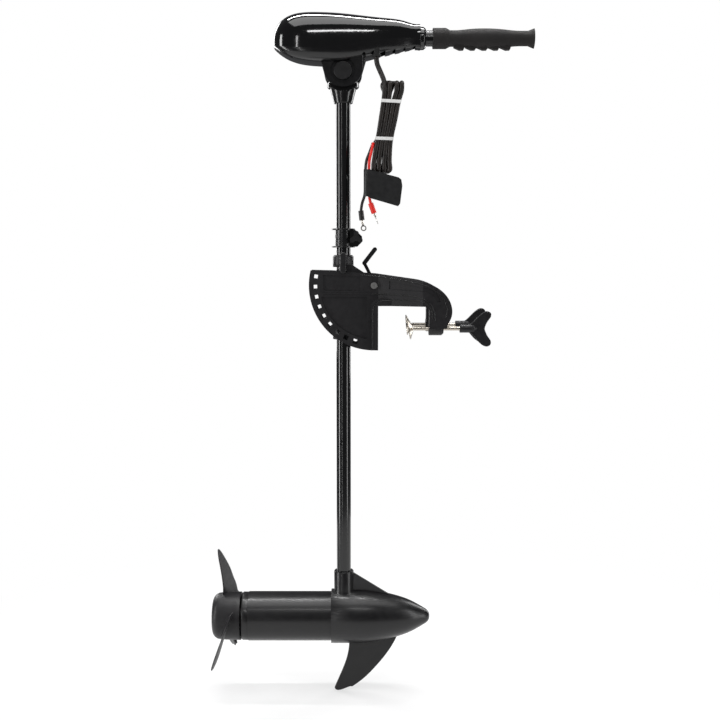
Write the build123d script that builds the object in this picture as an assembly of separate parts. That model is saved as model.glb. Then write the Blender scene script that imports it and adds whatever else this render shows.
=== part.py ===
from build123d import *
import math
import os

# Transom-mount electric trolling motor. Millimetres, +Z up, +X towards the boat (tiller and motor nose).
# Origin: middle of the bracket's jaw face, which bears on the transom, at the height of the clamp screws.

os.makedirs("parts", exist_ok=True)

# ---- driving dimensions ----
SHAFT_X = -67.0  # the shaft stands this far behind the jaw face
SHAFT_R = 14.0
SHAFT_BORE = 11.5
RUNNING = 0.1  # radial clearance of a running fit
GAP = 0.3  # clearance between moving faces

BOLT_X = -8.0  # tilt bolt
BOLT_Z = 81.0
SECTOR_R = 125.0
WINDOW_R = 113.5  # circle of the tilt windows
WINDOW = 9.0
WINDOW_COUNT = 9
WINDOW_STEP = 10.0
FIRST_WINDOW = -8.4  # degrees below the horizontal through the bolt
PLATE_IN = 22.0  # inner and outer face of each side plate, from the middle plane
PLATE_OUT = 30.0
JAW_TOP = 42.0
JAW_BOTTOM = -44.0
FLANGE_OUT = 40.0
THROAT = 97.0  # from the jaw face to the inner wall of the arm
ARM_IN = 37.0
ARM_OUT = 63.0

CLAMP_Y = 50.0  # each clamp screw from the middle plane
ROD_R = 3.9
BALL_X = 62.6
BALL_R = 4.0
RIVET_R = 2.0
PAD_R = 20.0
HUB_START = 155.5
PAD_LEAN = {"near": 9.0, "far": 5.0}  # how the loose pads lean on their balls

TIE_X = -7.0  # the two screws through the side plates and the cross plate
TIE_Z = (-28.0, 24.0)

RING_BOTTOM = 116.0
RING_TOP = 139.0
RING_R = 20.5
PIN_R = 3.9
PIN_IN_R = 102.8  # distance of the withdrawn lock pin from the tilt bolt
PIN_TRAVEL = 10.7
LEVER_X = -12.0
LEVER_Z = 95.0
LEVER_SWING = 21.7
CRANK = 27.0

COLLAR_BOTTOM = 153.5
COLLAR_TOP = 190.0
COLLAR_KNOB = (-42.0, 172.0)

YOKE_BOTTOM = 427.0
PIVOT_Z = 485.0
EAR_IN = 17.0
EAR_OUT = 33.0

GLAND_X = -4.0
# the four screws that close the head: X, Y and the height of the seam there
HEAD_SCREWS = ((-162, 29, 525.3), (-162, -29, 525.3), (-28, 36, 534.9), (-28, -36, 534.9))

TILLER_Z = 548.5
TILLER_R = 14.7
GRIP_START = 103.0
GRIP_END = 295.5

MOTOR_Z = -582.0
TUBE_R = 48.5
TUBE_START = -257.0
NOSE_START = -92.0
NOSE_END = 104.4
NOSE_R = 53.5
HUB_REAR = -329.0
HUB_FRONT = -273.0
PROP_R = 135.0
SOCKET_TOP = -488.0
BOLT_SPREAD = (-42.0, 42.0)  # the motor's two through bolts, in Y

LEAD_Y = -32.0
LEAD_WIDTH = 10.0
LEAD_THICK = 5.0


# ---- helpers ----
def box(x0, x1, y0, y1, z0, z1):
    return Pos((x0 + x1) / 2, (y0 + y1) / 2, (z0 + z1) / 2) * Box(x1 - x0, y1 - y0, z1 - z0)


def rod_x(r, x0, x1, y=0.0, z=0.0):
    return Pos((x0 + x1) / 2, y, z) * Rot(0, 90, 0) * Cylinder(r, x1 - x0)


def rod_y(r, y0, y1, x, z):
    return Pos(x, (y0 + y1) / 2, z) * Rot(90, 0, 0) * Cylinder(r, y1 - y0)


def rod_z(r, z0, z1, x=SHAFT_X, y=0.0):
    return Pos(x, y, (z0 + z1) / 2) * Cylinder(r, z1 - z0)


def slab(face, y0, y1):
    """A face drawn in X and Z, given thickness from y0 to y1."""
    return Pos(0, y1, 0) * Rot(90, 0, 0) * extrude(face, y1 - y0)


def outline(*edges):
    return make_face(list(edges))


def polygon(*points):
    return make_face(Polyline(*points, close=True))


def turned(*edges, z=0.0, y=0.0):
    """A face drawn in X and radius, revolved about the X axis through y, z."""
    return Pos(0, y, z) * revolve(make_face(list(edges)), Axis.X)


def ring_x(r_in, r_out, x0, x1, z, y=0.0):
    return rod_x(r_out, x0, x1, y, z) - rod_x(r_in, x0 - 1, x1 + 1, y, z)


def polar(radius, below):
    """A point at a distance from the tilt bolt, at an angle below the horizontal that runs aft."""
    a = math.radians(below)
    return BOLT_X - radius * math.cos(a), BOLT_Z - radius * math.sin(a)


def far_side(solid):
    return mirror(solid, about=Plane.XZ)


def save(node, shape):
    solids = shape.solids()
    whole = solids[0] if len(solids) == 1 else Compound(children=list(solids))
    export_step(whole, f"parts/{node}.step")


# ---- clamp bracket ----
def bracket_profile():
    top_left = polar(SECTOR_R, -13.4)
    sector = ThreePointArc(top_left, polar(SECTOR_R, 45), (BOLT_X, BOLT_Z - SECTOR_R))
    foot = Polyline((BOLT_X, BOLT_Z - SECTOR_R), (0, JAW_BOTTOM), (0, JAW_TOP), (THROAT - 9, JAW_TOP))
    corner = ThreePointArc((THROAT - 9, JAW_TOP), (THROAT - 2.6, JAW_TOP - 2.6), (THROAT, JAW_TOP - 9))
    end = Polyline((THROAT, JAW_TOP - 9), (THROAT, 0), (128, 0), (136, 16))
    arm = Spline((136, 16), (140, 34), (134, 55), (122, 70), (102, 83), (75, 91))
    top = Polyline((75, 91), (23, 99), (-3, 103), (-89, 109), top_left)
    return outline(sector, foot, corner, end, arm, top)


def bracket_plan(inset=0.0):
    """The casting seen from above: side plate aft, arm splayed out to the clamp screw."""
    outer = PLATE_OUT - inset
    splay = ARM_OUT - inset
    return polygon(
        (-140, PLATE_IN), (20, PLATE_IN), (92, ARM_IN), (150, ARM_IN),
        (150, splay), (84, splay), (0, outer), (-140, outer),
    )


def throat_flange():
    """The wide lip that follows the jaw and the top of the throat."""
    corner = ThreePointArc((0, JAW_TOP + 13), (-9, JAW_TOP + 9), (-13, JAW_TOP))
    rest = Polyline((-13, JAW_TOP), (-13, JAW_BOTTOM + 1), (0, JAW_BOTTOM + 1), (0, JAW_TOP),
                    (30, JAW_TOP), (30, JAW_TOP + 13), (0, JAW_TOP + 13))
    return slab(outline(corner, rest), PLATE_OUT - 1, FLANGE_OUT)


def lock_groove():
    """The blind groove inside the windows, in which the ends of the lock pin run."""
    annulus = Circle(WINDOW_R - WINDOW / 2 + 0.3) - Circle(PIN_IN_R - PIN_R - 0.6)
    reach = 160.0
    first = math.radians(FIRST_WINDOW - 3)
    last = math.radians(FIRST_WINDOW + WINDOW_STEP * (WINDOW_COUNT - 1) + 3)
    wedge = polygon(
        (0, 0),
        (-reach * math.cos(first), -reach * math.sin(first)),
        (-reach, -reach),
        (-reach * math.cos(last), -reach * math.sin(last)),
    )
    return slab(Pos(BOLT_X, BOLT_Z) * (annulus & wedge), PLATE_IN - 1, PLATE_IN + 4)


def recesses():
    """Shallow panels in the outer face of the side plate and of the arm."""
    upper = polygon((-104, 71), (-35, 71), (-35, 98), (-106, 101))
    sector = (Pos(BOLT_X, BOLT_Z) * Circle(103.5)) & polygon((-140, 59), (-21, 59), (-21, -34), (-140, -34))
    panels = slab(upper, PLATE_OUT - 1.6, PLATE_OUT + 1) + slab(sector, PLATE_OUT - 2.2, PLATE_OUT + 1)
    arm_panel = polygon((21, 74), (90, 70), (104, 62), (113, 50), (118, 51), (113, 64), (100, 75), (21, 90))
    skin = extrude(bracket_plan(-3) - bracket_plan(1.5), 200)
    return panels, slab(arm_panel, PLATE_IN, ARM_OUT + 5) & skin


def bracket_side():
    body = slab(bracket_profile(), PLATE_IN - 1, ARM_OUT + 1) & (Pos(0, 0, -60) * extrude(bracket_plan(), 200))
    body += throat_flange()
    boss = turned(
        Polyline((THROAT - 1, 0), (THROAT - 1, 12.2), (THROAT, 13), (120, 13), (124, 9.5), (124, 0), close=True),
        y=CLAMP_Y,
    )
    body += boss
    body += slab(polygon((-108, 64.5), (-12, 63.5), (-12, 66), (-108, 67)), PLATE_OUT - 1, PLATE_OUT + 1.2)
    for k in range(WINDOW_COUNT):
        below = FIRST_WINDOW + k * WINDOW_STEP
        x, z = polar(WINDOW_R, below)
        body -= Pos(x, PLATE_OUT, z) * Rot(0, -below, 0) * Box(WINDOW, 40, WINDOW)
    body -= lock_groove()
    plate_panels, arm_panels = recesses()
    body -= plate_panels
    body -= arm_panels
    body -= rod_y(4.0, 0, 60, BOLT_X, BOLT_Z)
    body -= rod_x(7.0, THROAT - 5, 121, CLAMP_Y)
    body -= rod_x(4.4, THROAT - 5, 130, CLAMP_Y)
    body -= rod_x(8.6, 124, 150, CLAMP_Y)  # room for the knob's hub when the screw is run in
    for z in TIE_Z:
        body -= rod_y(3.0, 0, 36, TIE_X, z)
    return body


def make_bracket():
    far = bracket_side()
    for z in TIE_Z:
        far -= rod_y(3.0, PLATE_OUT, 50, TIE_X, z)
    save("bracket_side_far", far)
    save("bracket_side_near", far_side(bracket_side()))
    cross = box(-13, 0, -PLATE_IN, PLATE_IN, -40, 38)
    bolts = []
    for z in TIE_Z:
        cross -= rod_y(3.0, -30, 30, TIE_X, z)
        bolts.append(rod_y(3.0, -36, FLANGE_OUT, TIE_X, z) + rod_y(5.2, FLANGE_OUT, FLANGE_OUT + 4, TIE_X, z))
    save("cross_plate", cross)
    save("tie_screws", Compound(children=bolts))
    head = Pos(BOLT_X, -PLATE_OUT - 4.2, BOLT_Z) * Rot(-90, 0, 0) * Pos(0, 0, 2.1) * Cylinder(6.2, 4.2)
    socket = slab(Pos(BOLT_X, BOLT_Z) * RegularPolygon(2.9, 6), -PLATE_OUT - 5, -PLATE_OUT - 2)
    save("tilt_bolt", head + rod_y(4.0, -PLATE_OUT, 40, BOLT_X, BOLT_Z) - socket)
    nut = slab(Pos(BOLT_X, BOLT_Z) * RegularPolygon(7.5, 6), PLATE_OUT, PLATE_OUT + 7.5)
    save("tilt_nut", nut - rod_y(4.0, 0, 50, BOLT_X, BOLT_Z))
    sleeves = [
        ring_x(ROD_R + GAP, 7.0, THROAT, 121, 0, y) for y in (-CLAMP_Y, CLAMP_Y)
    ]
    save("clamp_inserts", Compound(children=sleeves))


# ---- clamp screws ----
def wing_profile():
    edge = Spline(
        (174, -8), (190, -24), (199, -32), (206, -34.5), (213, -32), (215, -26), (209, -15), (204.5, -6),
        (203, 0), (204.5, 6), (209, 14.5), (214.5, 23), (214.5, 29), (207, 33), (198, 29.5), (186, 18.5), (174, 8),
    )
    return outline(edge, Line((174, 8), (174, -8)))


def clamp_screw(side, y):
    neck = math.sqrt(BALL_R**2 - RIVET_R**2)
    ball = ThreePointArc((BALL_X - BALL_R, 0), (BALL_X, BALL_R), (BALL_X + neck, RIVET_R))
    stem = Polyline((BALL_X + neck, RIVET_R), (76, RIVET_R), (76, 0), (BALL_X - BALL_R, 0))
    save(f"pad_rivet_{side}", turned(ball, stem, y=y))
    cup = turned(
        Polyline((57.0, 0), (57.0, 7), (57.6, 14), (57.6, PAD_R), (59.2, PAD_R), (65.0, 7.2), (66.2, 6.4), (66.2, 0),
                 close=True),
        y=y,
    )
    dish = turned(Polyline((50, 7.6), (60.8, 7.6), (57.0, PAD_R - 1.2), (50, PAD_R - 1.2), close=True), y=y)
    cup -= dish
    cup -= Pos(BALL_X, y, 0) * Sphere(BALL_R + GAP)
    cup -= rod_x(3.2, BALL_X, 70, y)
    lean = Pos(BALL_X, y, 0) * Rot(0, -PAD_LEAN[side], 0) * Pos(-BALL_X, -y, 0)
    save(f"clamp_pad_{side}", lean * cup)
    rod = rod_x(ROD_R, 68.2, 168, y) - rod_x(RIVET_R + GAP, 60, 76.5, y)
    save(f"clamp_rod_{side}", rod)
    hub = turned(
        Polyline((HUB_START, 0), (HUB_START, 8), (182, 8), (188, 4), (188, 0), close=True), y=y
    )
    wings = slab(wing_profile(), y - 4, y + 4)
    wings = fillet(wings.edges().filter_by(GeomType.BSPLINE), 1.8)
    save(f"wing_knob_{side}", hub + wings - rod_x(ROD_R, 150, 168, y))


# ---- tilting column ----
PIN_ANGLE = FIRST_WINDOW + WINDOW_STEP * (WINDOW_COUNT - 1)
PIN_X, PIN_Z = polar(PIN_IN_R, PIN_ANGLE)
LOCKED_X, LOCKED_Z = polar(PIN_IN_R + PIN_TRAVEL, PIN_ANGLE)
COLUMN_Y = PLATE_IN - 0.5
SLOT_Y = 5.5
EYE_X = LEVER_X - CRANK * math.cos(math.radians(LEVER_SWING / 2))
EYE_Z = LEVER_Z + CRANK * math.sin(math.radians(LEVER_SWING / 2))


def slot_y(p, q, r, y0, y1):
    """An obround cut along Y between two points."""
    length = math.dist(p, q)
    angle = math.degrees(math.atan2(q[1] - p[1], q[0] - p[0]))
    middle = ((p[0] + q[0]) / 2, (p[1] + q[1]) / 2)
    return slab(Pos(*middle) * Rot(0, 0, angle) * SlotCenterToCenter(length, 2 * r), y0, y1)


def make_column():
    column = turned_z(((RING_BOTTOM, RING_R), (RING_TOP - 3, RING_R), (RING_TOP, RING_R - 3)))
    column += rod_z(RING_R, -24, 0)
    spine = polygon((SHAFT_X, -24), (-46, -24), (-46, 118), (SHAFT_X, 118))
    column += slab(spine, -20, 20)
    cheek = polygon((-60, 30), (-46, 30), (4, 70), (6, 90), (0, 97), (-12, 101.5), (-22, 101.5), (-38, 112), (-52, 121),
                    (-60, 121))
    column += slab(cheek, -COLUMN_Y, COLUMN_Y)
    column += rod_y(14, -COLUMN_Y, COLUMN_Y, BOLT_X, BOLT_Z)
    lug = polygon((-60, -2), (-33.5, -2), (-33.5, -30), (-39, -35.5), (-50, -35.5), (-56, -24), (-60, -24))
    column += slab(lug, -COLUMN_Y, COLUMN_Y)
    column += rod_y(7, -28, -15, SHAFT_X, 124.5)
    column -= rod_z(15.5, -60, 160)
    for low, high in ((-24, -1), (RING_BOTTOM, RING_TOP - 1)):
        column -= rod_z(16.5, low, high)
    column -= box(-90, SHAFT_X, -17, 17, 0, RING_BOTTOM)
    column -= box(-49.5, 10, -SLOT_Y, SLOT_Y, -60, 150)
    column -= rod_y(4.0 + RUNNING, -40, 40, BOLT_X, BOLT_Z)
    column -= rod_y(3.0 + RUNNING, -40, 40, LEVER_X, LEVER_Z)
    column -= rod_y(3.0 + RUNNING, -40, -10, SHAFT_X, 124.5)
    column -= slot_y((PIN_X, PIN_Z), (LOCKED_X, LOCKED_Z), PIN_R + GAP, -40, 40)
    save("tilt_column", column)
    bushes = [
        rod_z(16.5, low, high) - rod_z(SHAFT_R + RUNNING, low - 1, high + 1)
        for low, high in ((-24, -1), (RING_BOTTOM, RING_TOP - 1))
    ]
    save("column_bushes", Compound(children=bushes))


def turned_z(stations, x=SHAFT_X):
    """A solid of revolution about a vertical axis, from its heights and radii."""
    low, high = stations[0][0], stations[-1][0]
    points = [(0, low), *[(r, z) for z, r in stations], (0, high)]
    return Pos(x, 0, 0) * revolve(Plane.XZ * make_face(Polyline(*points, close=True)), Axis.Z)


def make_tension_knob():
    oval = slab(Pos(SHAFT_X, 124.5) * SlotOverall(41, 12.5, rotation=90), -44, -31)
    oval = fillet(oval.edges().filter_by_position(Axis.Y, -44.1, -43.9), 2.5)
    save("tension_knob", oval + rod_y(6.0, -31, -29, SHAFT_X, 124.5) + rod_y(3.0, -32, -17, SHAFT_X, 124.5))


def make_lock():
    pad_start = (-26.5, 123.5)
    pad_end = (-6.0, 150.0)
    pad = slot_y(pad_start, pad_end, 4.0, -12, 12)
    stem = slot_y((LEVER_X, LEVER_Z), pad_start, 3.2, -5, 5)
    cheeks = slot_y((LEVER_X, LEVER_Z), (EYE_X, EYE_Z), 4.5, 2.6, 5.0)
    cheeks += far_side(cheeks)
    spread = rod_y(7.0, -5, 5, LEVER_X, LEVER_Z)
    lever = pad + stem + cheeks + spread + rod_y(2.4, -5, 5, EYE_X, EYE_Z)
    save("lock_lever", lever + rod_y(3.0, -21, 21, LEVER_X, LEVER_Z))
    bar = slot_y((PIN_X, PIN_Z), (EYE_X + 2.0, EYE_Z - 2), 3.5, -2.2, 2.2)
    bar += rod_y(5.4, -2.2, 2.2, PIN_X, PIN_Z)
    bar += slot_y((EYE_X - 1.2, EYE_Z), (EYE_X + 4.6, EYE_Z), 5.4, -2.2, 2.2)
    bar -= slot_y((EYE_X - 1.0, EYE_Z), (EYE_X + 4.4, EYE_Z), 2.4 + GAP * 2, -5, 5)
    save("lock_link", bar - rod_y(PIN_R, -5, 5, PIN_X, PIN_Z))
    save("lock_pin", rod_y(PIN_R, -25.6, 25.6, PIN_X, PIN_Z))


# ---- depth collar ----
def make_collar():
    spool = turned_z((
        (COLLAR_BOTTOM, 22.5), (COLLAR_BOTTOM + 2.6, 22.5), (COLLAR_BOTTOM + 2.61, 16),
        (COLLAR_TOP - 2.61, 16), (COLLAR_TOP - 2.6, 22.5), (COLLAR_TOP, 22.5),
    ))
    ear = polygon((-55, 188.5), (-45, 188.5), (-31, 175), (-30, 165), (-40, 155), (-55, 155))
    ears = slab(ear, -10, 10)
    collar = spool + ears - rod_z(SHAFT_R + RUNNING, 140, 200) - box(-55, -20, -2, 2, 140, 200)
    save("depth_collar", collar - rod_y(2.5 + GAP, -30, 30, *COLLAR_KNOB))
    trefoil = Circle(6.5)
    for k in range(3):
        trefoil += Rot(0, 0, 90 + 120 * k) * Pos(8.5, 0) * Circle(5)
    knob = slab(Pos(*COLLAR_KNOB) * trefoil, -21, -13) + rod_y(7.5, -13, -10.4, *COLLAR_KNOB)
    save("collar_knob", knob + rod_y(2.5, -12, 14, *COLLAR_KNOB) + rod_y(5, 10.4, 14, *COLLAR_KNOB))


# ---- shaft and lower unit ----
def make_shaft():
    tube = rod_z(SHAFT_R, -535, 470) - rod_z(SHAFT_BORE, -540, 480)
    save("shaft_tube", tube)
    yoke = turned_z((
        (YOKE_BOTTOM, 17.7), (YOKE_BOTTOM + 27, 25.0), (YOKE_BOTTOM + 28, 28.5),
        (YOKE_BOTTOM + 31, 30.5), (YOKE_BOTTOM + 38, 30.0),
    ))
    sweep_room = rod_y(37, -40, 40, SHAFT_X, PIVOT_Z) - rod_y(38, -EAR_IN + GAP, EAR_IN - GAP, SHAFT_X, PIVOT_Z)
    yoke -= sweep_room
    tongue = polygon((SHAFT_X - 24, 455), (SHAFT_X + 24, 455), (SHAFT_X + 22, PIVOT_Z), (SHAFT_X - 22, PIVOT_Z))
    yoke += slab(tongue, -EAR_IN + GAP, EAR_IN - GAP)
    yoke += rod_y(22, -EAR_IN + GAP, EAR_IN - GAP, SHAFT_X, PIVOT_Z)
    yoke -= rod_z(SHAFT_R, 400, 470)
    yoke -= rod_z(8, 460, 520)
    save("yoke", yoke - rod_y(6.0 + RUNNING, -40, 40, SHAFT_X, PIVOT_Z))


def nose_outline(inset):
    front = NOSE_END - 1.5 * inset
    r = NOSE_R - inset
    curve = Spline(
        (-40, r), (24, r - 9.3), (66, 31.0 - 1.15 * inset), (92, 17.0 - 1.6 * inset), (front, 0),
        tangents=((1, 0), (0, -1)),
    )
    return curve, r, front


def nose_solid(inset, start):
    curve, r, front = nose_outline(inset)
    return turned(curve, Polyline((front, 0), (start, 0), (start, r), (-40, r)), z=MOTOR_Z)


def make_lower_unit():
    shell = nose_solid(0, NOSE_START)
    socket = turned_z(((-560, 21.5), (-536, 21.5), (-530, 20.2), (-526, 19.4), (SOCKET_TOP - 1.5, 19.4),
                       (SOCKET_TOP, 18.4)))
    web = polygon((-60, -494), (-47, -494), (24, -538), (40, -560), (-60, -560))
    housing = shell + socket + slab(web, -4, 4)
    housing -= nose_solid(6, -62)
    housing -= rod_x(46.0, -95, -84, 0, MOTOR_Z)
    housing -= rod_x(16, -84, -72, 0, MOTOR_Z)
    housing -= rod_x(8, -84, -50, 0, MOTOR_Z)
    housing -= rod_z(SHAFT_R, -535, -470)
    housing -= rod_z(9, -560, -530)
    for y in BOLT_SPREAD:
        housing -= rod_x(2.0, -90, -72, y, MOTOR_Z)
    save("nose_housing", housing)
    trailing = Spline((-60, -612), (-57, -644), (-64, -677), (-78, -712), (-86, -731))
    toe = Spline((-86, -731), (-84, -734.5), (-72, -735), (-51, -729))
    leading = Spline((-51, -729), (-34, -717), (0, -683), (27, -647), (44, -612))
    fin = slab(outline(trailing, toe, leading, Line((44, -612), (-60, -612))), -4, 4)
    fin = fillet(fin.edges().filter_by(GeomType.BSPLINE), 2.2)
    save("skeg", fin - nose_solid(0, NOSE_START - 20))


def make_motor():
    tube = ring_x(TUBE_R - 2.5, TUBE_R, TUBE_START, NOSE_START, MOTOR_Z)
    save("motor_tube", tube)
    bell = turned(
        Polyline((-270.5, 0), (-270.5, 45.5), (-268.5, 47.5), (TUBE_START, 47.5), (TUBE_START, 46),
                 (-249, 46), (-249, 43), (-262, 40), (-262, 20), (-254, 20), (-254, 0), close=True),
        z=MOTOR_Z,
    )
    bell -= rod_x(16, -264, -250, 0, MOTOR_Z)
    bell -= rod_x(12, -280, -264, 0, MOTOR_Z)
    bolts = []
    for y in BOLT_SPREAD:
        bell -= rod_x(2.0, -280, -240, y, MOTOR_Z)
        bell -= rod_x(3.4, -280, -267.5, y, MOTOR_Z)
        bolts.append(rod_x(2.0, -269, -72, y, MOTOR_Z) + rod_x(3.4, -270.3, -267.5, y, MOTOR_Z))
    save("end_bell", bell)
    save("through_bolts", Compound(children=bolts))
    magnets = []
    for turn in (0, 180):
        arc = ring_x(38.5, 45.9, -240, -130, 0)
        arc &= Rot(turn, 0, 0) * (Pos(-185, 0, 40) * Box(120, 66, 48))
        magnets.append(Pos(0, 0, MOTOR_Z) * arc)
    save("field_magnets", Compound(children=magnets))
    bearings = [
        ring_x(6.0 + RUNNING, 16, low, high, MOTOR_Z) for low, high in ((-264, -254), (-82, -72))
    ]
    save("motor_bearings", Compound(children=bearings))
    save("shaft_seal", ring_x(6.0 + RUNNING, 12, -270, -264.5, MOTOR_Z))
    holder = ring_x(20, 45.9, -101, -97, MOTOR_Z)
    for z in (-1, 1):
        low, high = sorted((MOTOR_Z + z * 15.5, MOTOR_Z + z * 32))
        holder += box(-119, -99, -6, 6, low, high)
    for y in BOLT_SPREAD:
        holder -= rod_x(2.6, -130, -90, y, MOTOR_Z)
    save("brush_holder", holder)


def make_rotor():
    save("motor_shaft", rod_x(6, -322, -72, 0, MOTOR_Z) - rod_y(2.5, -10, 10, -288, MOTOR_Z))
    core = ring_x(6, 31, -232, -138, MOTOR_Z)
    coils = ring_x(9, 27, -245, -232, MOTOR_Z) + ring_x(9, 27, -138, -125, MOTOR_Z)
    teeth = 12
    for k in range(teeth):
        bar = Rot(360 / teeth * k, 0, 0) * Pos(-185, 0, 22.5) * Box(94, 6, 9)
        bar = Pos(0, 0, MOTOR_Z) * bar
        core -= bar
        coils += bar
    save("armature_core", core)
    save("windings", coils)
    save("commutator", ring_x(6, 15, -122, -104, MOTOR_Z))
    save("drive_pin", rod_y(2.5, -13, 13, -288, MOTOR_Z))
    nut = Pos(0, 0, MOTOR_Z) * Rot(0, 90, 0) * Pos(0, 0, -326) * extrude(RegularPolygon(9, 6), 8)
    save("prop_nut", nut - rod_x(6, -330, -300, 0, MOTOR_Z))
    save("propeller", propeller())


def blade():
    """One swept, twisted blade that points up. Each station: height, chord, thickness, sweep in Y, X."""
    stations = (
        (36, 58, 7.0, 22, -296), (58, 60, 5.5, 18, -299), (85, 56, 4.2, 11, -304),
        (108, 44, 3.2, 5, -310), (125, 28, 2.6, 1, -315), (PROP_R, 9, 1.8, -1, -318),
    )
    pitch = 115.0
    sections = []
    for height, chord, thick, sweep, x in stations:
        twist = math.degrees(math.atan(pitch / (2 * math.pi * height)))
        sections.append(Pos(x, sweep, height) * Rot(0, 0, 90 - twist) * Ellipse(chord / 2, thick / 2))
    return loft(sections)


def propeller():
    rear = ThreePointArc((HUB_REAR, 30), (-325, 40.5), (-316, 45.5))
    hub = turned(
        rear, Polyline((-316, 45.5), (-300, 47), (HUB_FRONT, 47.5), (HUB_FRONT, 0), (HUB_REAR, 0), (HUB_REAR, 30))
    )
    hub -= ring_x(15, 41, -305, -270, 0)
    keep = turned(Polyline((-340, 44), (-270, 44), (-270, 150), (-340, 150), close=True))
    for k in range(3):
        hub += Rot(-2 + 120 * k, 0, 0) * (blade() & keep)
    hub -= rod_x(6, -340, -260)
    hub -= rod_x(12, -340, -318)
    hub -= rod_y(2.5, -13, 13, -288, 0)
    return Pos(0, 0, MOTOR_Z) * hub


# ---- head ----
# stations along the head: X, half width, seam height, top height, bottom height
HEAD = (
    (-197.5, 17, 532, 551, 529), (-190, 32, 530, 572, 523), (-176, 42, 527, 585, 514), (-155, 48.5, 524.5, 593, 506),
    (-120, 52, 523, 595.5, 501), (-80, 51.5, 527, 594, 500), (-35, 47, 534, 589.5, 506), (10, 39, 540.5, 585, 517),
    (50, 28.5, 545, 579.5, 525), (79, 21, 547, 574.5, 527),
)


def head_section(station, inset, upper):
    x, half, seam, top, bottom = station
    half -= inset
    end = (top if upper else bottom) + (-inset if upper else inset)
    rise = end - seam
    shape = ((1.0, 0.0), (0.985, 0.3), (0.86, 0.68), (0.5, 0.94)) if upper else (
        (1.0, 0.0), (0.93, 0.45), (0.76, 0.85), (0.4, 0.985))
    right = [(half * a, seam + rise * b) for a, b in shape]
    left = [(-y, z) for y, z in reversed(right)]
    points = [(x, y, z) for y, z in [*right, (0, end), *left]]
    first, last = points[0], points[-1]
    if not inset:
        return make_face([Spline(*points), Line(last, first)])
    # a hollow runs out past the seam, so that none of the seam's face is left across it
    past = seam + (-2 if upper else 2)
    first_out, last_out = (x, first[1], past), (x, last[1], past)
    return make_face([Spline(*points), Line(last, last_out), Line(last_out, first_out), Line(first_out, first)])


def head_form(inset, upper):
    stations = list(HEAD)
    if inset:
        x, *rest = stations[0]
        stations[0] = (x + inset, *rest)
        x, *rest = stations[-1]
        stations[-1] = (x - inset, *rest)
    return loft([head_section(s, inset, upper) for s in stations])


def ear(y0, y1):
    bowl = Pos(SHAFT_X, PIVOT_Z) * Ellipse(36, 30)
    stem = polygon((SHAFT_X - 36, PIVOT_Z), (SHAFT_X + 36, PIVOT_Z), (SHAFT_X + 44, 512), (SHAFT_X - 44, 512))
    return slab(bowl + stem, y0, y1)


def make_head():
    wall = 3.0
    cover = head_form(0, True) - head_form(wall, True)
    for x, y, seam in HEAD_SCREWS:
        cover += rod_z(4.5, seam, 600, x, y) & head_form(0, True)
    tiller_room = rod_x(TILLER_R + 0.6, 70, 120, 0, TILLER_Z)  # through the front wall only
    for x, y, seam in HEAD_SCREWS:
        cover -= rod_z(2.0, seam - 1, seam + 10, x, y)
    cover -= tiller_room
    save("head_cover", cover)
    base = head_form(0, False)
    ears = ear(EAR_IN, EAR_OUT)
    ears = ears + far_side(ears)
    base += ears
    base -= head_form(wall, False)
    for x, y, seam in HEAD_SCREWS:
        base += rod_z(4.5, 505, seam, x, y) & head_form(0, False)
    base -= box(SHAFT_X - 40, SHAFT_X + 40, -EAR_IN, EAR_IN, 440, 518)
    base -= rod_y(38, -EAR_IN, EAR_IN, SHAFT_X, PIVOT_Z)
    for y0, y1 in ((-EAR_OUT - 1, -EAR_OUT + 5), (EAR_OUT - 5, EAR_OUT + 1)):
        base -= rod_y(23.5, y0, y1, SHAFT_X, PIVOT_Z)
    base -= rod_y(6.0, -28, 28, SHAFT_X, PIVOT_Z)
    grooves = [(12 + 19 * k, 519 + 3.4 * k) for k in range(4)]
    for x, z in grooves:
        notch = polygon((x - 9, z - 10), (x + 1.0, z - 10), (x + 1.0, z + 3), (x - 9, z - 0.5))
        base -= slab(notch, -60, 60)
    base -= tiller_room
    base -= rod_z(6.0, 500, 530, GLAND_X, LEAD_Y)
    screws = []
    for x, y, seam in HEAD_SCREWS:
        screw = rod_z(2.0, seam - 10, seam + 10, x, y) + rod_z(3.6, seam - 12, seam - 10, x, y)
        base -= rod_z(3.6, 480, seam - 10, x, y) + rod_z(2.0, seam - 11, seam + 1, x, y)
        screws.append(screw)
    base = max(base.solids(), key=lambda s: s.volume)
    save("head_base", base)
    caps = [rod_y(17, y0, y1, SHAFT_X, PIVOT_Z) for y0, y1 in ((-32, -28), (28, 32))]
    caps = [fillet(c.edges().filter_by(GeomType.CIRCLE), 1.2) for c in caps]
    save("pivot_caps", Compound(children=caps))
    save("pivot_pin", rod_y(6.0, -28, 28, SHAFT_X, PIVOT_Z))
    ring = turned(
        Polyline((79, TILLER_R + RUNNING), (79, 21.5), (86, 21), (90, 17.5), (90, TILLER_R + RUNNING), close=True),
        z=TILLER_Z,
    )
    save("neck_ring", ring)
    board_z = HEAD_SCREWS[0][2] + 14
    board = box(-178, -118, -24, 24, board_z, board_z + 2) + box(-170, -130, -18, 18, board_z + 2, board_z + 17)
    save("control_board", board)
    save("head_screws", Compound(children=screws))
    gland = rod_z(6.0, 512.5, 526, GLAND_X, LEAD_Y) + rod_z(8.5, 509, 512.5, GLAND_X, LEAD_Y)
    save("lead_gland", gland)


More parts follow.
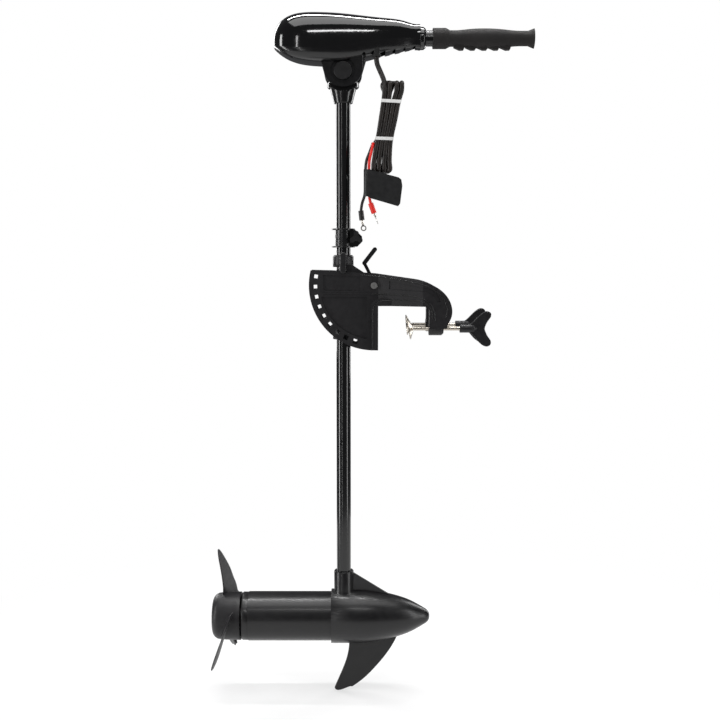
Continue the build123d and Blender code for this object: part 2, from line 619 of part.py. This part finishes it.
# ---- tiller ----
def make_tiller():
    tube = ring_x(12.2, TILLER_R, -100, GRIP_START, TILLER_Z)
    spigot = ring_x(8.0, 11.0, GRIP_START - 6, 286, TILLER_Z)
    step = ring_x(8.0, TILLER_R, GRIP_START - 6, GRIP_START, TILLER_Z)
    save("tiller_tube", tube + spigot + step)
    save("speed_switch", rod_x(12.2, 62, 96.8, 0, TILLER_Z) - rod_x(3.7, 84, 120, 0, TILLER_Z))
    save("drive_rod", box(86, 290, -2.5, 2.5, TILLER_Z - 2.5, TILLER_Z + 2.5))
    save("grip", grip())


def grip():
    start = GRIP_START + GAP
    top = Spline((145, 15.2), (170, 17.2), (203, 18.6), (240, 16.6), (270, 14.2), tangents=((1, 0), (1, 0)))
    profile = make_face([
        Polyline((270, 14.2), (284, 14.2), (GRIP_END, 18.8), (GRIP_END, 0), (start, 0), (start, 19.5),
                 (128, 19.5), (136, 15.2), (145, 15.2)),
        top,
    ])
    body = revolve(profile, Axis.X)
    low = 20.5
    for x in [152 + 22.0 * k for k in range(5)]:
        tooth = slab(polygon((x - 9, -13), (x + 12, -13), (x + 10, -low - 1.0), (x + 2, -low - 1.2), (x - 9, -17)), -7, 7)
        body += fillet(tooth.edges().filter_by(Axis.Y), 1.2)
    body -= rod_x(11.0 + GAP, 100, 286.3)
    body -= box(280, 291, -2.5, 2.5, -2.5, 2.5)
    return Pos(0, 0, TILLER_Z) * body


# ---- power lead ----
def along_path(points, section, name, area):
    """A tube along straight runs joined by the largest arcs that the runs allow."""
    vectors = [Vector(*p) for p in points]
    runs = [b - a for a, b in zip(vectors, vectors[1:])]
    radii = []
    for a, b in zip(runs, runs[1:]):
        half_turn = math.radians(a.get_angle(b)) / 2
        radii.append(0.45 * min(a.length, b.length) / math.tan(half_turn))
    path = FilletPolyline(*points, radius=radii)
    start = Plane(origin=vectors[0], z_dir=runs[0], x_dir=(0, 1, 0))
    tube = sweep(start * section, path=path)
    print(name, "radii", [round(r) for r in radii], "length", round(path.length),
          "volume over section times length", round(tube.volume / (area * path.length), 3))
    return tube


def hank_outline(grow=0.0):
    face = polygon(
        (7, 430), (-4, 358), (-14, 303), (-8, 292.5), (2, 293.5), (13, 303), (24, 310), (25, 353),
        (37, 416), (51, 461), (46, 467), (34, 457), (26, 463.5), (9, 463.5),
    )
    return offset(face, grow) if grow else face


LEAD_ROUTE = (
    (-4, LEAD_Y, 509), (-4, LEAD_Y, 500), (0.5, LEAD_Y, 488.5), (8, LEAD_Y, 478), (12.5, LEAD_Y, 470.5),
    (12.5, LEAD_Y, 463.5),
)
TAIL_R = 2.7
RED_ROUTE = (
    (-9.5, -41, 350), (-13, -41.5, 334), (-17.3, -42, 317), (-18, -42, 300), (-17.4, -42, 283),
    (-18.2, -42, 266), (-17.6, -42, 250), (-14.5, -42, 236),
)
BLACK_ROUTE = (
    (-10.5, -33, 350), (-16, -35, 334), (-23, -39, 317), (-24.6, -42, 300), (-24, -42, 283),
    (-24.6, -42, 266), (-26, -42, 250), (-31, -42, 237), (-33, -42, 222),
)


def terminal(top, tip, turn):
    """A ring tongue terminal: crimp barrel towards the wire, flat ring at the tip."""
    length = math.dist(top, tip)
    barrel = rod_z(2.2, 0, 8, 0, 0)
    flat = Pos(0, 0, length) * Rot(90, 0, 0) * Cylinder(5.5, 1.2)
    neck = box(-2.2, 2.2, -0.6, 0.6, 6, length)
    shape = barrel + neck + flat - Pos(0, 0, length) * Rot(90, 0, 0) * Cylinder(3.3, 4)
    down = Vector(tip[0] - top[0], tip[1] - top[1], tip[2] - top[2])
    side = Vector(math.cos(math.radians(turn)), math.sin(math.radians(turn)), 0)
    return Plane(origin=top, z_dir=down, x_dir=side) * shape


def make_lead():
    flat = SlotOverall(LEAD_WIDTH, LEAD_THICK, rotation=90)
    save("lead_cord", along_path(LEAD_ROUTE, flat, "lead_cord", flat.area))
    hank = slab(hank_outline(), LEAD_Y - 13, LEAD_Y + 13)
    save("lead_hank", hank)
    ties = []
    for low, high, slope in ((424, 430, -3), (353, 359, -2)):
        band = slab(polygon((-60, low + 4), (80, low + 4 + 2.6 * slope), (80, high + 4 + 2.6 * slope), (-60, high + 4)),
                    LEAD_Y - 30, LEAD_Y + 30)
        around = slab(hank_outline(1.5), LEAD_Y - 14.5, LEAD_Y + 14.5)
        ties.append((around & band) - hank)
    save("hank_ties", Compound(children=ties))
    boot_red = ((-14.5, -42, 236), (-8, -42, 218))
    boot_black = ((-33, -42, 222), (-31, -42, 205))
    tails = {}
    for colour, route, boot in (("red", RED_ROUTE, boot_red), ("black", BLACK_ROUTE, boot_black)):
        wire = along_path(route, Circle(TAIL_R), f"{colour}_tail", math.pi * TAIL_R**2)
        a, b = boot
        length = math.dist(a, b)
        sleeve = Plane(origin=a, z_dir=Vector(*b) - Vector(*a)) * Pos(0, 0, length / 2 - 0.5) * Cylinder(5.0, length + 1)
        tails[colour] = wire + sleeve
    rings = [terminal(boot_red[1], (-2.5, -42, 203), 90), terminal(boot_black[1], (-28, -42, 190), 0)]
    for colour, ring in zip(("red", "black"), rings):
        save(f"{colour}_tail", tails[colour] - ring)
    save("ring_terminals", Compound(children=rings))
    sleeve = rod_z(6.9, 250, 300, -21, -42)
    flag = polygon((-21, 300), (-15, 299), (38, 285), (43, 281), (45, 269), (41, 236), (37, 231), (-15, 246), (-21, 250))
    tag = sleeve + slab(flag, -48.9, -47.9)
    save("lead_tag", tag - tails["red"] - tails["black"])


make_bracket()
clamp_screw("near", -CLAMP_Y)
clamp_screw("far", CLAMP_Y)
make_column()
make_tension_knob()
make_lock()
make_collar()
make_shaft()
make_lower_unit()
make_motor()
make_rotor()
make_head()
make_tiller()
make_lead()
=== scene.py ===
import math

import bpy
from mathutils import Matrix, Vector


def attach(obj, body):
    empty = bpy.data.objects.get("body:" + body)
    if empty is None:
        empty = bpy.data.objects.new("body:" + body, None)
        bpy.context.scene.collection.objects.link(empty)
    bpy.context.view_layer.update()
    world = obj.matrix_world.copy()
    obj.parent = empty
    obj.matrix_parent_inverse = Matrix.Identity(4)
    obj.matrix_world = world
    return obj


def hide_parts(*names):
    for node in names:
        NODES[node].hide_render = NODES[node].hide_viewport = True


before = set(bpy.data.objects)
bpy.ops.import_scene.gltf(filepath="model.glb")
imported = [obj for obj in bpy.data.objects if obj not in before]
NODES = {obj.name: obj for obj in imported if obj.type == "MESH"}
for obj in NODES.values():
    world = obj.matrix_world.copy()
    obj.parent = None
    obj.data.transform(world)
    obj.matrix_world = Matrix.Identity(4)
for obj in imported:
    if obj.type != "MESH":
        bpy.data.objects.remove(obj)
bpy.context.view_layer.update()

scene = bpy.context.scene
scene.view_settings.view_transform = "Standard"
MM = 0.001


def add_object(name, data):
    made = bpy.data.objects.new(name, data)
    scene.collection.objects.link(made)
    return made


# ---- camera, at the height and angle of the studio view ----
LOOK_DOWN = 6  # degrees below the horizontal

camera = add_object("camera", bpy.data.cameras.new("camera"))
camera.data.lens = 54.5
camera.data.sensor_width = 36.0
camera.location = (-0.0348, -2.124, 0.1575)
camera.rotation_euler = (math.radians(90 - LOOK_DOWN), 0, 0)
scene.camera = camera

# ---- round curves ----
POINT_RADIUS = 0.01  # keeps a curve's reported box close to its points


def round_curve(name, radius, roundness, resolution):
    """A curve with no lines in it yet, whose lines will be solid and round, with a radius in metres."""
    curve = bpy.data.curves.new(name, "CURVE")
    curve.dimensions = "3D"
    curve.bevel_depth = radius / POINT_RADIUS
    curve.bevel_resolution = roundness
    curve.resolution_u = resolution
    curve.use_fill_caps = True
    return curve


def add_spline(curve, places):
    """One open, smooth line that is led by places, in mm."""
    spline = curve.splines.new("NURBS")
    spline.points.add(len(places) - 1)
    for point, place in zip(spline.points, places):
        point.co = (*(c * MM for c in place), 1.0)
        point.radius = POINT_RADIUS
    spline.order_u = 3
    spline.use_endpoint_u = True


# ---- the power lead: one flexible cord, folded into a hank of eleven runs ----
LEAD_DIAMETER = 0.0094
FRONT, MIDDLE, BACK = -41.4, -32.0, -22.6  # Y of the hank's three layers, in mm
# each height from the top fold to the bottom fold, with the X of the hank's four columns there, in mm
LEVELS = (
    (446, (12.0, 21.0, 34.5, 43.5)), (427, (9.8, 19.0, 28.2, 37.2)), (392, (4.5, 13.6, 22.6, 31.0)),
    (356, (-1.0, 7.0, 15.0, 22.4)), (334, (-5.2, 3.6, 12.6, 21.0)), (312, (-9.0, 1.0, 11.0, 20.4)),
)
# the column and layer of each run, the first one downwards and the next one up
RUNS = (
    (0, FRONT), (1, BACK), (1, FRONT), (0, BACK), (2, MIDDLE), (3, FRONT), (3, BACK), (2, FRONT), (2, BACK),
    (1, MIDDLE), (0, MIDDLE),
)
LAST_RUN_LEVELS = 4  # the last run stops where the tails begin
# the lead's way from the gland down to the hank, and from the last run to the tails, in mm
DROP = ((-4, -32, 509), (-4, -32, 500), (0.5, -32.5, 488), (7, -35, 474), (11, -39, 462))
LEAD_END = ((-6.0, -34.5, 350), (-9.0, -36.5, 343))
FOLD_WIDTH = 17.0  # least width of a fold, in mm
FOLD_START = 6  # how far past a run's end its fold begins to widen, and how far past it reaches, in mm
FOLD_REACH = 15


def fold(a, b, z, way):
    """Four points of the loop from one run's end to the next one's start: way is 1 above, -1 below."""
    across = Vector((b[0] - a[0], b[1] - a[1]))
    spare = across.normalized() * max(0.0, (FOLD_WIDTH - across.length) / 2)
    a = (a[0] - spare.x, a[1] - spare.y)
    b = (b[0] + spare.x, b[1] + spare.y)
    near, far = z + way * FOLD_START, z + way * FOLD_REACH
    return [(*a, near), (*a, far), (*b, far), (*b, near)]


def lead_points():
    points = list(DROP)
    for k, (column, y) in enumerate(RUNS):
        downwards = k % 2 == 0
        levels = LEVELS if downwards else LEVELS[::-1]
        if k == len(RUNS) - 1:
            levels = levels[:LAST_RUN_LEVELS]
        points += [(xs[column], y, z) for z, xs in levels]
        if k < len(RUNS) - 1:
            after, y_after = RUNS[k + 1]
            z, xs = levels[-1]
            points += fold((xs[column], y), (xs[after], y_after), z, -1 if downwards else 1)
    return points + list(LEAD_END)


lead_curve = round_curve("lead", LEAD_DIAMETER / 2, 3, 6)
add_spline(lead_curve, lead_points())
lead = add_object("lead", lead_curve)
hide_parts("lead_cord", "lead_hank")
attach(lead, "head")


# ---- materials ----
# the part of a noise's range over which one colour, or one roughness, becomes the other
COLOUR_BLEND = (0.35, 0.65)
ROUGHNESS_BLEND = (0.3, 0.7)
FINE_SHARE = 6  # how many times finer the roughness wanders than the colour
COAT_ROUGHNESS = 0.06


class Nodes:
    """A material's node tree with a Principled shader and object coordinates."""

    def __init__(self, name):
        self.material = bpy.data.materials.new(name)
        self.material.use_nodes = True
        self.tree = self.material.node_tree
        self.shader = self.tree.nodes["Principled BSDF"]
        self.place = self.tree.nodes.new("ShaderNodeTexCoord").outputs["Object"]

    def link(self, a, b):
        self.tree.links.new(a, b)

    def mapping(self, scale):
        node = self.tree.nodes.new("ShaderNodeMapping")
        node.inputs["Scale"].default_value = scale
        self.link(self.place, node.inputs["Vector"])
        return node.outputs["Vector"]

    def noise(self, size, detail=3.0, stretch=(1, 1, 1)):
        """Noise whose features are about size metres across."""
        node = self.tree.nodes.new("ShaderNodeTexNoise")
        node.inputs["Scale"].default_value = 1.0
        node.inputs["Detail"].default_value = detail
        self.link(self.mapping(tuple(s / size for s in stretch)), node.inputs["Vector"])
        return node.outputs["Fac"]

    def ramp(self, factor, low, high):
        """A colour between low and high."""
        node = self.tree.nodes.new("ShaderNodeValToRGB")
        for element, position, colour in zip(node.color_ramp.elements, COLOUR_BLEND, (low, high)):
            element.position = position
            element.color = (*colour, 1)
        self.link(factor, node.inputs["Fac"])
        return node.outputs["Color"]

    def spread(self, factor, low, high):
        """A number between low and high."""
        node = self.tree.nodes.new("ShaderNodeMapRange")
        node.inputs["From Min"].default_value = ROUGHNESS_BLEND[0]
        node.inputs["From Max"].default_value = ROUGHNESS_BLEND[1]
        node.inputs["To Min"].default_value = low
        node.inputs["To Max"].default_value = high
        self.link(factor, node.inputs["Value"])
        return node.outputs["Result"]

    def bump(self, height, strength, distance):
        node = self.tree.nodes.new("ShaderNodeBump")
        node.inputs["Strength"].default_value = strength
        node.inputs["Distance"].default_value = distance
        self.link(height, node.inputs["Height"])
        self.link(node.outputs["Normal"], self.shader.inputs["Normal"])


def surface(
    name, colour, rough, vary=0.18, rough_vary=0.05, grain=None, metal=0.0, coat=0.0, patch=0.05,
    stretch=(1, 1, 1), sheen=0.0, specular=0.5,
):
    """A material whose colour and roughness wander a little.

    vary is a share of the colour, patch the size of the wandering in metres, and grain the size, strength
    and depth of a fine moulded or brushed texture.
    """
    n = Nodes(name)
    soft = n.noise(patch)
    low = [c * (1 - vary) for c in colour]
    high = [min(1.0, c * (1 + vary)) for c in colour]
    n.link(n.ramp(soft, low, high), n.shader.inputs["Base Color"])
    fine = n.noise(patch / FINE_SHARE, 4.0, stretch)
    n.link(n.spread(fine, rough - rough_vary, rough + rough_vary), n.shader.inputs["Roughness"])
    n.shader.inputs["Metallic"].default_value = metal
    n.shader.inputs["Specular IOR Level"].default_value = specular
    n.shader.inputs["Coat Weight"].default_value = coat
    n.shader.inputs["Coat Roughness"].default_value = COAT_ROUGHNESS
    n.shader.inputs["Sheen Weight"].default_value = sheen
    if grain:
        size, strength, depth = grain
        n.bump(n.noise(size, 2.0, stretch), strength, depth)
    return n.material


GLOSS = surface("gloss_black", (0.0022, 0.0022, 0.0024), 0.09, coat=0.35, rough_vary=0.02)
SHAFT = surface("shaft_gloss", (0.0025, 0.0025, 0.0027), 0.16, coat=0.25, rough_vary=0.02)
SATIN = surface("satin_black", (0.0048, 0.0046, 0.005), 0.34, grain=(0.0006, 0.06, 0.0002), specular=0.4)
MOULDED = surface(
    "moulded_black", (0.0068, 0.0062, 0.0072), 0.46, grain=(0.0007, 0.12, 0.00025), specular=0.4,
)
PAINT = surface(
    "motor_paint", (0.0046, 0.0043, 0.0048), 0.33, coat=0.05, grain=(0.0012, 0.04, 0.00015), specular=0.45,
)
KNOB = surface("knob_black", (0.0062, 0.006, 0.0066), 0.42, grain=(0.0006, 0.1, 0.0002), specular=0.4)
LOWER = surface("head_base_black", (0.003, 0.0029, 0.0032), 0.22, coat=0.1, rough_vary=0.03)
COLLAR = surface("collar_black", (0.0035, 0.0035, 0.0038), 0.24, coat=0.15, rough_vary=0.03)
GRIP = surface(
    "grip_rubber", (0.014, 0.0128, 0.0125), 0.7, vary=0.1, grain=(0.0005, 0.25, 0.00025), sheen=0.04,
    specular=0.22,
)
RUBBER = surface("black_rubber", (0.006, 0.006, 0.006), 0.6, grain=(0.0006, 0.2, 0.0002), specular=0.3)
NICKEL = surface("nickel", (0.5, 0.46, 0.4), 0.3, vary=0.04, metal=1.0, rough_vary=0.02)
STEEL = surface("stainless", (0.60, 0.59, 0.57), 0.3, vary=0.04, metal=1.0, rough_vary=0.03)
BRASS = surface("brass", (0.72, 0.52, 0.22), 0.3, vary=0.08, metal=1.0)
COPPER = surface("copper", (0.72, 0.33, 0.16), 0.35, vary=0.12, metal=1.0, grain=(0.0012, 0.3, 0.0004))
NYLON = surface("white_nylon", (0.62, 0.61, 0.56), 0.5, vary=0.05, grain=(0.0008, 0.08, 0.0001))
FERRITE = surface("ferrite", (0.05, 0.05, 0.052), 0.6, metal=0.3, grain=(0.0008, 0.3, 0.0002))
CORE = surface(
    "laminations", (0.3, 0.3, 0.31), 0.4, metal=1.0, stretch=(12, 1, 1), grain=(0.002, 0.3, 0.0003),
)
PHENOLIC = surface("phenolic", (0.09, 0.06, 0.04), 0.5, grain=(0.001, 0.15, 0.0002))
BOARD = surface("circuit_board", (0.02, 0.14, 0.06), 0.4, grain=(0.002, 0.2, 0.0003))
LEAD = surface(
    "lead_jacket", (0.0105, 0.0072, 0.0058), 0.42, vary=0.35, patch=0.02, stretch=(1, 1, 0.3),
    grain=(0.001, 0.1, 0.0002), specular=0.35,
)
TIE = surface("white_tie", (0.72, 0.72, 0.71), 0.45, vary=0.08, patch=0.006, grain=(0.0012, 0.2, 0.0003))
TAG = surface("tag_black", (0.004, 0.004, 0.0044), 0.42, grain=(0.006, 0.08, 0.0005))
RED = surface("red_wire", (0.72, 0.018, 0.01), 0.4, vary=0.08, grain=(0.0008, 0.06, 0.0002))
BLACK_WIRE = surface("black_wire", (0.0045, 0.0045, 0.0045), 0.4, grain=(0.0008, 0.08, 0.0002))
TINNED = surface("tinned", (0.66, 0.63, 0.58), 0.28, vary=0.06, metal=1.0)

FINISHES = (
    (GLOSS, "head_cover neck_ring"),
    (LOWER, "head_base yoke tiller_tube"),
    (SATIN, "pivot_caps lock_lever skeg"),
    (MOULDED, "bracket_side_near bracket_side_far cross_plate tilt_column propeller prop_nut"),
    (KNOB, "wing_knob_near wing_knob_far tension_knob collar_knob"),
    (COLLAR, "depth_collar"),
    (SHAFT, "shaft_tube"),
    (PAINT, "nose_housing motor_tube end_bell"),
    (GRIP, "grip"),
    (RUBBER, "lead_gland shaft_seal speed_switch"),
    (NICKEL, "clamp_rod_near clamp_rod_far clamp_pad_near clamp_pad_far"),
    (NICKEL, "pad_rivet_near pad_rivet_far lock_pin lock_link"),
    (STEEL, "tilt_bolt tilt_nut tie_screws pivot_pin motor_shaft drive_pin"),
    (STEEL, "through_bolts head_screws drive_rod motor_bearings"),
    (BRASS, "clamp_inserts"),
    (NYLON, "column_bushes"),
    (FERRITE, "field_magnets"),
    (CORE, "armature_core"),
    (COPPER, "windings commutator"),
    (PHENOLIC, "brush_holder"),
    (BOARD, "control_board"),
    (TIE, "hank_ties"),
    (TAG, "lead_tag"),
    (RED, "red_tail"),
    (BLACK_WIRE, "black_tail"),
    (TINNED, "ring_terminals"),
)
for material, names in FINISHES:
    for name in names.split():
        mesh = NODES[name].data
        mesh.materials.clear()
        mesh.materials.append(material)
lead.data.materials.append(LEAD)

# ---- moulded ribs on the outer faces of the bracket ----
RIB_RADIUS = 1.1  # all in mm
RIB_STEP = 7  # about how far apart a rib's points are
SIDE_Y = 30  # outer face of each side plate, from the middle plane
SPLAY = 33  # how much further out the arm's end stands
SPLAY_END = 84  # X where the arm stops spreading
LIP_Y = 40  # outer edge of the jaw's lip
# X and Z along each rib
RIB_LINES = (
    ((-14, 64.6), (20, 64), (60, 62.5), (80, 59), (94, 52), (103, 41), (107, 28), (108, 16)),
    ((31, 54.4), (76, 53.6), (88, 50.5), (97, 43), (101.5, 33), (102.5, 18)),
    ((-34, 101), (0, 98.6), (24, 95), (70, 87.2), (96, 80), (114, 68), (126, 53), (131, 36), (128, 22)),
)
LIP_LINE = ((-10.5, -40), (-10.5, 30), (-8.5, 42), (-2, 49.5), (8, 52.5), (26, 52.5))


def outer_face(x):
    """How far the bracket's outer face stands from the middle plane at x."""
    return SIDE_Y + SPLAY * min(max(x, 0), SPLAY_END) / SPLAY_END


def spaced(line):
    """The line's points in X and Z, with more between them where they are far apart."""
    places = []
    for (x0, z0), (x1, z1) in zip(line, line[1:]):
        steps = max(1, round(math.dist((x0, z0), (x1, z1)) / RIB_STEP))
        places += [(x0 + (x1 - x0) * k / steps, z0 + (z1 - z0) * k / steps) for k in range(steps)]
    return places + [line[-1]]


rib_curve = round_curve("bracket_ribs", RIB_RADIUS * MM, 2, 3)
for rib_line in RIB_LINES:
    for side in (-1, 1):
        add_spline(rib_curve, [(x, side * outer_face(x), z) for x, z in spaced(rib_line)])
for side in (-1, 1):
    add_spline(rib_curve, [(x, side * LIP_Y, z) for x, z in spaced(LIP_LINE)])
rib_curve.materials.append(SATIN)
ribs = add_object("bracket_ribs", rib_curve)
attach(ribs, "bracket")

# ---- moulded edges ----
WELD_DISTANCE = 1e-6
SHARP_ANGLE = 40  # degrees; edges that turn more than this are rounded
# the width of each piece's small round, in mm
ROUNDS = (
    (1.2, "bracket_side_near bracket_side_far tilt_column"),
    (0.8, "yoke lock_lever nose_housing end_bell tension_knob collar_knob depth_collar neck_ring skeg"),
    (0.5, "wing_knob_near wing_knob_far pivot_caps grip hank_ties tilt_bolt tilt_nut lead_tag"),
    (0.4, "propeller"),
)
for width, names in ROUNDS:
    for name in names.split():
        weld = NODES[name].modifiers.new("weld", "WELD")
        weld.merge_threshold = WELD_DISTANCE
        bevel = NODES[name].modifiers.new("round", "BEVEL")
        bevel.width = width * MM
        bevel.segments = 2
        bevel.limit_method = "ANGLE"
        bevel.angle_limit = math.radians(SHARP_ANGLE)
        bevel.use_clamp_overlap = True
        bevel.harden_normals = True

# ---- floor and light ----
FLOOR_Z = -0.7363  # just under the skeg's tip
FLOOR_RADIUS = 1.4
FADE_START, FADE_END = 0.3, 1.1  # from the middle of the floor, in metres
LEAST_GLOW = 0.6  # share of the background's white in the middle of the floor


def floor_material():
    """Pale and matt in the middle, and fading outwards to the white of the background."""
    n = Nodes("floor")
    n.link(n.ramp(n.noise(0.6), (0.9, 0.9, 0.9), (0.93, 0.93, 0.93)), n.shader.inputs["Base Color"])
    n.shader.inputs["Roughness"].default_value = 0.8
    n.shader.inputs["Specular IOR Level"].default_value = 0.1
    glow = n.tree.nodes.new("ShaderNodeEmission")
    glow.inputs["Color"].default_value = (1, 1, 1, 1)
    glow.inputs["Strength"].default_value = 1.0
    reach = n.tree.nodes.new("ShaderNodeVectorMath")
    reach.operation = "LENGTH"
    n.link(n.place, reach.inputs[0])
    fade = n.tree.nodes.new("ShaderNodeMapRange")
    fade.inputs["From Min"].default_value = FADE_START
    fade.inputs["From Max"].default_value = FADE_END
    fade.inputs["To Min"].default_value = LEAST_GLOW
    fade.interpolation_type = "SMOOTHSTEP"
    n.link(reach.outputs["Value"], fade.inputs["Value"])
    mix = n.tree.nodes.new("ShaderNodeMixShader")
    n.link(fade.outputs["Result"], mix.inputs["Fac"])
    n.link(n.shader.outputs["BSDF"], mix.inputs[1])
    n.link(glow.outputs["Emission"], mix.inputs[2])
    output = n.tree.nodes["Material Output"]
    n.link(mix.outputs["Shader"], output.inputs["Surface"])
    return n.material


bpy.ops.mesh.primitive_circle_add(
    vertices=96, radius=FLOOR_RADIUS, fill_type="NGON", location=(0, 0, FLOOR_Z),
)
floor = bpy.context.object
floor.name = "floor"
floor.data.materials.append(floor_material())


def softbox(name, place, aim, width, height, power):
    """A white rectangular light at place that faces aim, in metres and watts."""
    data = bpy.data.lights.new(name, "AREA")
    data.shape = "RECTANGLE"
    data.size = width
    data.size_y = height
    data.energy = power
    light = add_object(name, data)
    light.location = place
    light.rotation_euler = (Vector(aim) - Vector(place)).to_track_quat("-Z", "Y").to_euler()


softbox("overhead", (0.1, -0.5, 2.0), (0, 0, 0.2), 2.4, 1.2, 26)
softbox("top_strip", (-0.05, 0.3, 1.7), (-0.05, 0, 0.5), 1.5, 0.1, 26)
softbox("front_strip", (0.1, -1.9, 1.5), (0, 0, 0.5), 1.2, 0.12, 9)
softbox("left_strip", (-1.9, -0.6, 0.0), (0, 0, -0.05), 0.35, 2.4, 26)
softbox("left_line", (-0.95, -1.9, 0.0), (0, 0, -0.05), 0.06, 2.4, 5)
softbox("right_strip", (1.8, -1.0, 0.1), (0, 0, 0), 0.4, 2.2, 16)
softbox("back_left", (-1.2, 1.5, 0.6), (0, 0, 0), 0.5, 1.8, 20)
softbox("back_right", (1.4, 1.4, 0.5), (0, 0, 0), 0.5, 1.8, 18)

# the room's soft light is dim, and the camera alone sees it as a white background
world = bpy.data.worlds.new("studio")
scene.world = world
world.use_nodes = True
tree = world.node_tree
dim = tree.nodes["Background"]
dim.inputs["Color"].default_value = (0.95, 0.96, 1.0, 1)
dim.inputs["Strength"].default_value = 0.11
white = tree.nodes.new("ShaderNodeBackground")
white.inputs["Color"].default_value = (1, 1, 1, 1)
white.inputs["Strength"].default_value = 1.0
path = tree.nodes.new("ShaderNodeLightPath")
choose = tree.nodes.new("ShaderNodeMixShader")
tree.links.new(path.outputs["Is Camera Ray"], choose.inputs["Fac"])
tree.links.new(dim.outputs["Background"], choose.inputs[1])
tree.links.new(white.outputs["Background"], choose.inputs[2])
tree.links.new(choose.outputs["Shader"], tree.nodes["World Output"].inputs["Surface"])
